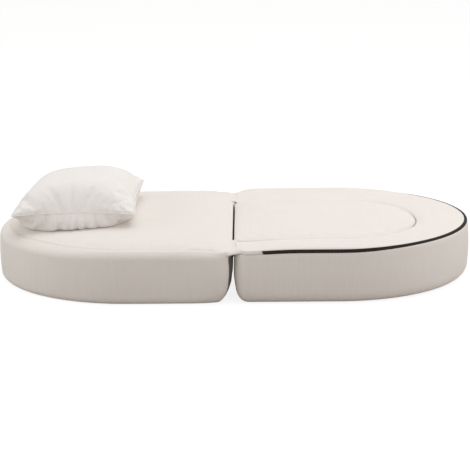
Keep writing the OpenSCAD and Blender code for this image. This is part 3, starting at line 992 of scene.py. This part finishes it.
def makeZip():
    z = zipper
    half = z["width"] / 2
    for name, low, high in (("zipTapeLower", -half, -z["gap"]), ("zipTapeUpper", z["gap"], half)):
        middle, along, out, rise = zipFrames(z["tapeSpacing"])
        section = [(0.0, low), (0.0003, (low + high) / 2), (0.0, high), (-z["tape"], high), (-z["tape"], low)]
        loops = np.stack([middle + out * o + rise * h for o, h in section], 1)
        points, faces = stackRings(list(loops), loops[0].mean(0), loops[-1].mean(0))
        obj = addPiece(name, points, faces, "zipTape")
        tidyNormals(obj)
        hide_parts("zip_tape_lower" if name == "zipTapeLower" else "zip_tape_upper")
        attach(obj, "seat_half")
    middle, along, out, rise = zipFrames(z["pitch"] / 2)
    wide, tall = z["toothWidth"] / 2, z["toothHeight"]
    profile = np.array([(wide * a, tall * b) for a, b in z["toothShape"]])
    centre = profile.mean(0)
    layers = ((-0.0005, 1.0), (z["proud"] - 0.0003, 1.0), (z["proud"], 0.72))
    points, faces = [], []
    for i in range(len(middle)):
        up = 1 if i % 2 else -1
        base = middle[i] - rise[i] * up * z["rowHeight"] / 2
        faces += barFaces(len(points), len(profile), len(layers))
        for depth, squeeze in layers:
            for a, b in centre + (profile - centre) * squeeze:
                points.append(base + along[i] * a + rise[i] * up * b + out[i] * depth)
    obj = addPiece("zipTeethChain", np.array(points), faces, "zipTeeth")
    tidyNormals(obj)
    obj.data.polygons.foreach_set("use_smooth", [False] * len(obj.data.polygons))
    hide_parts("zip_teeth")
    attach(obj, "seat_half")
    for node in ("zip_stop_front", "zip_stop_back", "zip_slider", "zip_pull_tab"):
        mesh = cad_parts[node].data
        if not mesh.materials:
            mesh.materials.append(None)
        for i in range(len(mesh.materials)):
            mesh.materials[i] = finishes["zipMetal"]


makeZip()
print("zip made")


pillow = {
    "side": 0.490,
    "place": (-0.640, 0.037),
    "seamZ": 0.3055,
    "rise": 0.1090,
    "depth": 0.0650,
    "turn": math.radians(1.2),
    "pinch": 0.050,  # how far the sides pull in between the corners
    "seamBow": 0.009,  # the seam rises in the middle of each side
    "steps": 72,
    "cloth": {"pressure": 6.0, "frames": 30, "cap": 0.40, "stiffness": 14.0, "bending": 0.4, "spare": 0.055},
    "unevenness": 0.0003,  # given to it before it is blown up, so that it creases
    "topFill": 1.22,  # the higher, the fuller the crown
    "topPower": 3,
    "underFill": (1.2, 0.9),  # at the corners, and what is added along the sides
    "underPower": 2.2,
    "corners": {  # how each corner, by its sides, is pulled out of square
        (1, -1): (0.0, 0.008, 0.0),
        (1, 1): (0.024, -0.012, 0.012),
        (-1, 1): (0.058, -0.010, -0.038),
    },
    "cornerPower": 1.5,  # how close to the corner that stays
    "belly": 0.020,  # how far the underside swells out past the seam
    "frontBelly": 0.056,
    "bellyTurn": 1.75,  # its profile from the seam down
    "bellyPower": 1.3,
    "bellyNear": 2.5,  # how close to the sides it stays
    "settle": 0.018,  # how far the underside may sink towards a falling surface
    "hemRings": ((-0.003, 0.0016), (0.0005, 0.0012), (0.0018, 0.0006)),
    "stitch": (0.004, 0.008),  # in from the seam, and above and below it
}


def makePillow():
    p = pillow
    n = p["steps"]
    u, v = np.meshgrid(np.linspace(-1, 1, n + 1), np.linspace(-1, 1, n + 1), indexing="ij")
    half = p["side"] / 2
    puff = np.clip((1 - u ** 2) * (1 - v ** 2), 0, 1) ** 0.5
    size = n + 1
    grid = np.arange(size * size).reshape(size, size)
    edge = (np.abs(u) == 1) | (np.abs(v) == 1)
    under = np.where(edge, grid, grid + size * size)
    flat = np.stack([half * u * (1 - p["pinch"] * (1 - v ** 2) ** 2),
                     half * v * (1 - p["pinch"] * (1 - u ** 2) ** 2)], -1)
    points = np.concatenate([np.dstack([flat, way * puff]).reshape(-1, 3) for way in (0.05, -0.05)])
    faces = []
    for i in range(n):
        for j in range(n):
            faces.append([grid[i, j], grid[i + 1, j], grid[i + 1, j + 1], grid[i, j + 1]])
            faces.append([under[i, j + 1], under[i + 1, j + 1], under[i + 1, j], under[i, j]])
    used = np.unique(np.array(faces))
    order = -np.ones(len(points), int)
    order[used] = np.arange(len(used))
    faces = [[int(order[k]) for k in f] for f in faces]
    u, v = np.r_[u.ravel(), u.ravel()][used], np.r_[v.ravel(), v.ravel()][used]
    points = points[used]
    obj = addPiece("scatterPillow", points, faces, "pillowLinen")
    rng = np.random.default_rng(5)
    free = (np.abs(u) < 1) & (np.abs(v) < 1)
    points[:, 2] += rng.normal(size=len(points)) * p["unevenness"] * free
    obj.data.vertices.foreach_set("co", points.ravel())
    points = inflate(obj, free, **p["cloth"])
    print("pillow swelled to", [round(c, 4) for c in points.min(0).tolist() + points.max(0).tolist()])
    z = points[:, 2]
    rise, depth, fill, power = p["rise"], p["depth"], p["topFill"], p["topPower"]
    sides = np.maximum(1 - u ** 2, 1 - v ** 2)  # 1 halfway along each side, 0 at the corners
    top = z * (rise * fill / z.max())
    top = rise * np.tanh((np.abs(top) / rise) ** power) ** (1 / power) / np.tanh(fill ** power) ** (1 / power)
    low = z * (rise * (p["underFill"][0] + p["underFill"][1] * sides ** 2) / -z.min())
    low = -depth * np.tanh((np.abs(low) / depth) ** p["underPower"]) ** (1 / p["underPower"])
    points[:, 2] = np.where(z > 0, top, low) + p["seamBow"] * (sides - 1)
    drop = np.clip(-low / depth, 0, 1) * (z < 0)
    swell = np.sin(drop * p["bellyTurn"]) ** p["bellyPower"]
    deepest = (p["belly"], np.where(v < 0, p["frontBelly"], p["belly"]))
    for axis, (a, b) in enumerate(((u, v), (v, u))):
        reach = np.sign(a) * np.abs(a) ** p["bellyNear"]
        points[:, axis] += deepest[axis] * swell * reach * (1 - b ** 2) ** p["bellyPower"]
    for (cornerU, cornerV), shift in p["corners"].items():
        near = np.clip((1 + cornerU * u) * (1 + cornerV * v) / 4, 0, 1) ** p["cornerPower"]
        points += near[:, None] * shift
    c, s = math.cos(p["turn"]), math.sin(p["turn"])
    turned = points[:, :2] @ np.array([[c, s], [-s, c]])
    points = np.column_stack([turned + p["place"], points[:, 2] + p["seamZ"]])
    lowest = p["seamZ"] - depth
    points[:, 2] = np.maximum(points[:, 2], lowest)
    under = sleepTop(points[:, :2] * (-1, 1)) - lowest  # follows the mattress's crowned top down
    points[:, 2] += np.clip(under, -p["settle"], 0) * drop ** 2
    around = [k for k in range(len(points)) if abs(u[k]) == 1 or abs(v[k]) == 1]
    around.sort(key=lambda k: math.atan2(v[k], u[k]))
    seam = points[around]
    obj.data.vertices.foreach_set("co", points.ravel())
    obj.data.update()
    tidyNormals(obj)
    smoother = obj.modifiers.new("finer", "SUBSURF")
    smoother.levels = smoother.render_levels = 1
    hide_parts("pillow_top_panel", "pillow_bottom_panel", "pillow_filling")
    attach(obj, "pillow")
    out = waysOut(seam[:, :2])  # the sewn hem that stands out all round
    upper = p["hemRings"]
    rings = upper + tuple((way, -up) for way, up in upper[::-1])
    loops = [lift(seam[:, :2] + out * way, seam[:, 2] + up) for way, up in rings]
    n = len(seam)
    last = (len(loops) - 1) * n
    faces = cyclicFaces(n, len(loops)) + [[(k + 1) % n, k, last + k, last + (k + 1) % n] for k in range(n)]
    hem = addPiece("pillowHem", np.concatenate(loops), faces, "pillowLinen")
    tidyNormals(hem)
    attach(hem, "pillow")
    for name, way in (("pillowTopStitch", 1), ("pillowUnderStitch", -1)):
        line = lift(seam[:, :2] - out * p["stitch"][0], seam[:, 2] + way * p["stitch"][1])
        sewAlong(name, line, obj, "pillow")


makePillow()
print("pillow made")


bridge = {  # the strips of cover that join the halves in front and behind
    "reach": 0.075,  # onto each half
    "inner": 0.279,  # from the end of the slit
    "outer": 0.441,  # to just inside the edge
    "bow": 0.010,  # how far its outer edge draws in over the fold
    "thickness": 0.003,
    "sag": 0.004,
    "edgeFall": 0.012,
    "gap": 0.012,  # half-width of the dip over the fold
}


def topNear(x, y):  # height of the block tops beside the fold
    flat = np.column_stack([np.maximum(np.abs(x), plan["face"] + 0.002), y])
    left = sleepTop(flat)
    edge = halfWidth - 0.007
    across = np.clip((edge - np.abs(y)) / (edge - padHalf), 0, 1)
    right = rimTop(across, np.abs(x), y, seat["zipTop"])
    points = lift(flat, np.where(x < 0, left, right))
    return np.where(x < 0, settle(points, "sleeping")[:, 2], settle(points, "seat")[:, 2])


def makeBridge(side):
    b = bridge
    u, v = np.meshgrid(np.linspace(-1, 1, 41), np.linspace(0, 1, 31), indexing="ij")
    x = u * b["reach"]
    outer = b["outer"] - b["bow"] * (1 - u ** 2)
    y = b["inner"] + (outer - b["inner"]) * v
    z = topNear(x.ravel(), y.ravel() * side).reshape(x.shape)
    tuck = smooth((np.abs(u) - 0.55) / 0.45)  # its ends sink into the tops
    uneven = waves(np.stack([x, y], -1).reshape(-1, 2), 0.05, 41).reshape(x.shape)
    z = z + 0.0012 - 0.0026 * tuck + 0.0005 * uneven
    gap = np.exp(-(x / b["gap"]) ** 2)
    level = (sleeping["seamHeight"] + seat["zipTop"]) / 2 + 0.002 - sag["depth"]
    z = z * (1 - gap) + (level - b["sag"] * np.sin(math.pi * v)) * gap
    fall = np.clip((v - 0.86) / 0.14, 0, 1) ** 2
    z = z - b["edgeFall"] * fall
    top = np.stack([x, y * side, z], -1).reshape(-1, 3)
    low = top - (0, 0, b["thickness"])
    name = "hingeBridgeFront" if side < 0 else "hingeBridgeBack"
    obj = addPiece(name, np.concatenate([top, low]), sheetFaces(*x.shape), "linen")
    tidyNormals(obj)
    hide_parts("hinge_flap_front" if side < 0 else "hinge_flap_back")
    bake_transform(obj)


lip = {  # a narrow lip of the seat's cover, down in the slit, in dark grip cloth as painted shade
    "front": -0.06,  # how far it goes past the slit's front and back ends
    "back": 0.12,
    "middleX": 0.0014,
    "halfWidth": 0.0020,
    "height": 0.168,
    "dip": 0.004,
    "backRise": 0.014,
    "thickness": 0.0012,
}


def makeLip():
    w = lip
    slitEnd = bridge["inner"]
    y = np.linspace(-slitEnd + w["front"], slitEnd + w["back"], 81)
    u, y = np.meshgrid(np.linspace(-1, 1, 13), y, indexing="ij")
    x = w["middleX"] + u * w["halfWidth"]
    z = w["height"] - w["dip"] * (1 - u ** 2) + w["backRise"] * smooth((y - slitEnd) / 0.1)
    top = np.stack([x, y, z], -1).reshape(-1, 3)
    low = top - (0, 0, w["thickness"])
    # the grip cloth's dark colour here is painted shade in the slit
    obj = addPiece("slitShadeLip", np.concatenate([top, low]), sheetFaces(*x.shape), "baseCloth")
    tidyNormals(obj)
    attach(obj, "seat_half")


makeBridge(-1)
makeBridge(1)
makeLip()
print("bridges made")


studio = {
    "floorHeight": -0.0005,
    "floorSize": 28,
    "floorColour": (0.54, 0.515, 0.485),
    "lampColour": (0.985, 0.995, 1.0),
    "floorSeen": 0.22,  # how much of the floor's look is its lighting, with the shadow
    "floorGlow": 0.87,
    "worldLevel": 0.50,
    "worldColour": (1.0, 0.97, 0.935),
    "lamps": {  # watts, size and place of each soft lamp
        "topLamp": (76.0, 4.0, (0.6, 0.5, 3.4)),
        "frontLamp": (5.0, 3.0, (0.3, -3.6, 1.6)),
        "leftLamp": (24.0, 2.0, (-3.6, -0.9, 1.3)),
        "rightLamp": (20.0, 2.0, (3.6, -0.9, 1.3)),
    },
}


def makeStudio(s):
    f = Finish("studioFloor")
    plain = f.node("ShaderNodeBsdfDiffuse", None, {"Color": s["floorColour"]})
    soft = f.node("ShaderNodeBsdfDiffuse", None, {"Color": (s["floorSeen"],) * 3})
    white = f.node("ShaderNodeEmission", None, {"Color": (1, 1, 1), "Strength": s["floorGlow"]})
    both = f.node("ShaderNodeAddShader", None, {0: soft, 1: white})
    cover = f.close(f.node("ShaderNodeMixShader", None, {0: f.seen(), 1: plain, 2: both}))
    half = s["floorSize"] / 2
    corners = [(-half, -half), (half, -half), (half, half), (-half, half)]
    mesh = bpy.data.meshes.new("studioFloor")
    mesh.from_pydata([(x, y, s["floorHeight"]) for x, y in corners], [], [(0, 1, 2, 3)])
    mesh.materials.append(cover)
    floor = bpy.data.objects.new("studioFloor", mesh)
    scene.collection.objects.link(floor)
    floor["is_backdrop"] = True

    w = Finish("studioWorld", world=True)
    lit = w.node("ShaderNodeBackground", None, {"Color": s["worldColour"], "Strength": s["worldLevel"]})
    back = w.node("ShaderNodeBackground", None, {"Color": (1, 1, 1), "Strength": 1.0})
    scene.world = w.close(w.node("ShaderNodeMixShader", None, {0: w.seen(), 1: lit, 2: back}))

    for name, (energy, size, place) in s["lamps"].items():
        data = bpy.data.lights.new(name, "AREA")
        data.energy = energy
        data.size = size
        data.color = s["lampColour"]
        made = bpy.data.objects.new(name, data)
        made.location = place
        made.rotation_euler = (-Vector(place)).to_track_quat("-Z", "Y").to_euler()
        scene.collection.objects.link(made)
    scene.view_settings.view_transform = "Standard"


makeStudio(studio)
print("floor and light made")

{"cad": plainNumbers(cadBox), "visual": plainNumbers(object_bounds())}
